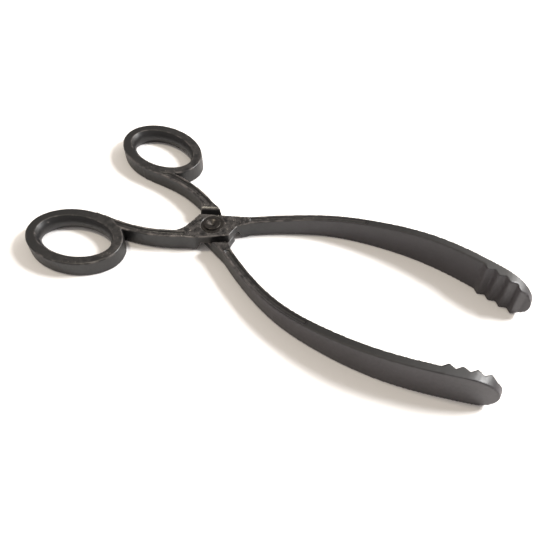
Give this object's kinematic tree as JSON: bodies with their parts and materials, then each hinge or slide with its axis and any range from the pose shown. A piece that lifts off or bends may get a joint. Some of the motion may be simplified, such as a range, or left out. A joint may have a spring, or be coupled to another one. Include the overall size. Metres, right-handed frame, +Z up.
{
  "type": "scissor tongs",
  "caption": "Scissor-handled kitchen tongs: crossed moulded arms with oval finger loops and bowed, deep jaws with ridged tips, turning on a sprung rivet.",
  "frame": {"origin": "centre of the footprint of the open tongs, on the surface they lie on", "axes": "+X from the finger loops to the jaw tips, +Z up along the pivot axis"},
  "size_m": [0.2317, 0.1102, 0.0187],
  "materials": {
    "black_plastic": "moulded, satin with glossy edges",
    "blackened_steel": "black finish, glossy",
    "bush_steel": "turned",
    "spring_steel": "drawn wire"
  },
  "bodies": {
    "lower": {"lower_arm": "black_plastic", "pivot_rivet": "blackened_steel", "pivot_bush": "bush_steel", "rivet_washer": "blackened_steel", "torsion_spring": "spring_steel"},
    "upper": {"upper_arm": "black_plastic"}
  },
  "joints": [
    {"name": "pivot", "type": "hinge", "parent": "lower", "child": "upper", "pos_m": [-0.03375, 0, 0.00515], "axis": [0, 0, -1], "range_deg": [0, 17.2], "stiffness_Nm_per_rad": 0.085, "springref_deg": -34.38, "deforming": ["torsion_spring"]}
  ]
}
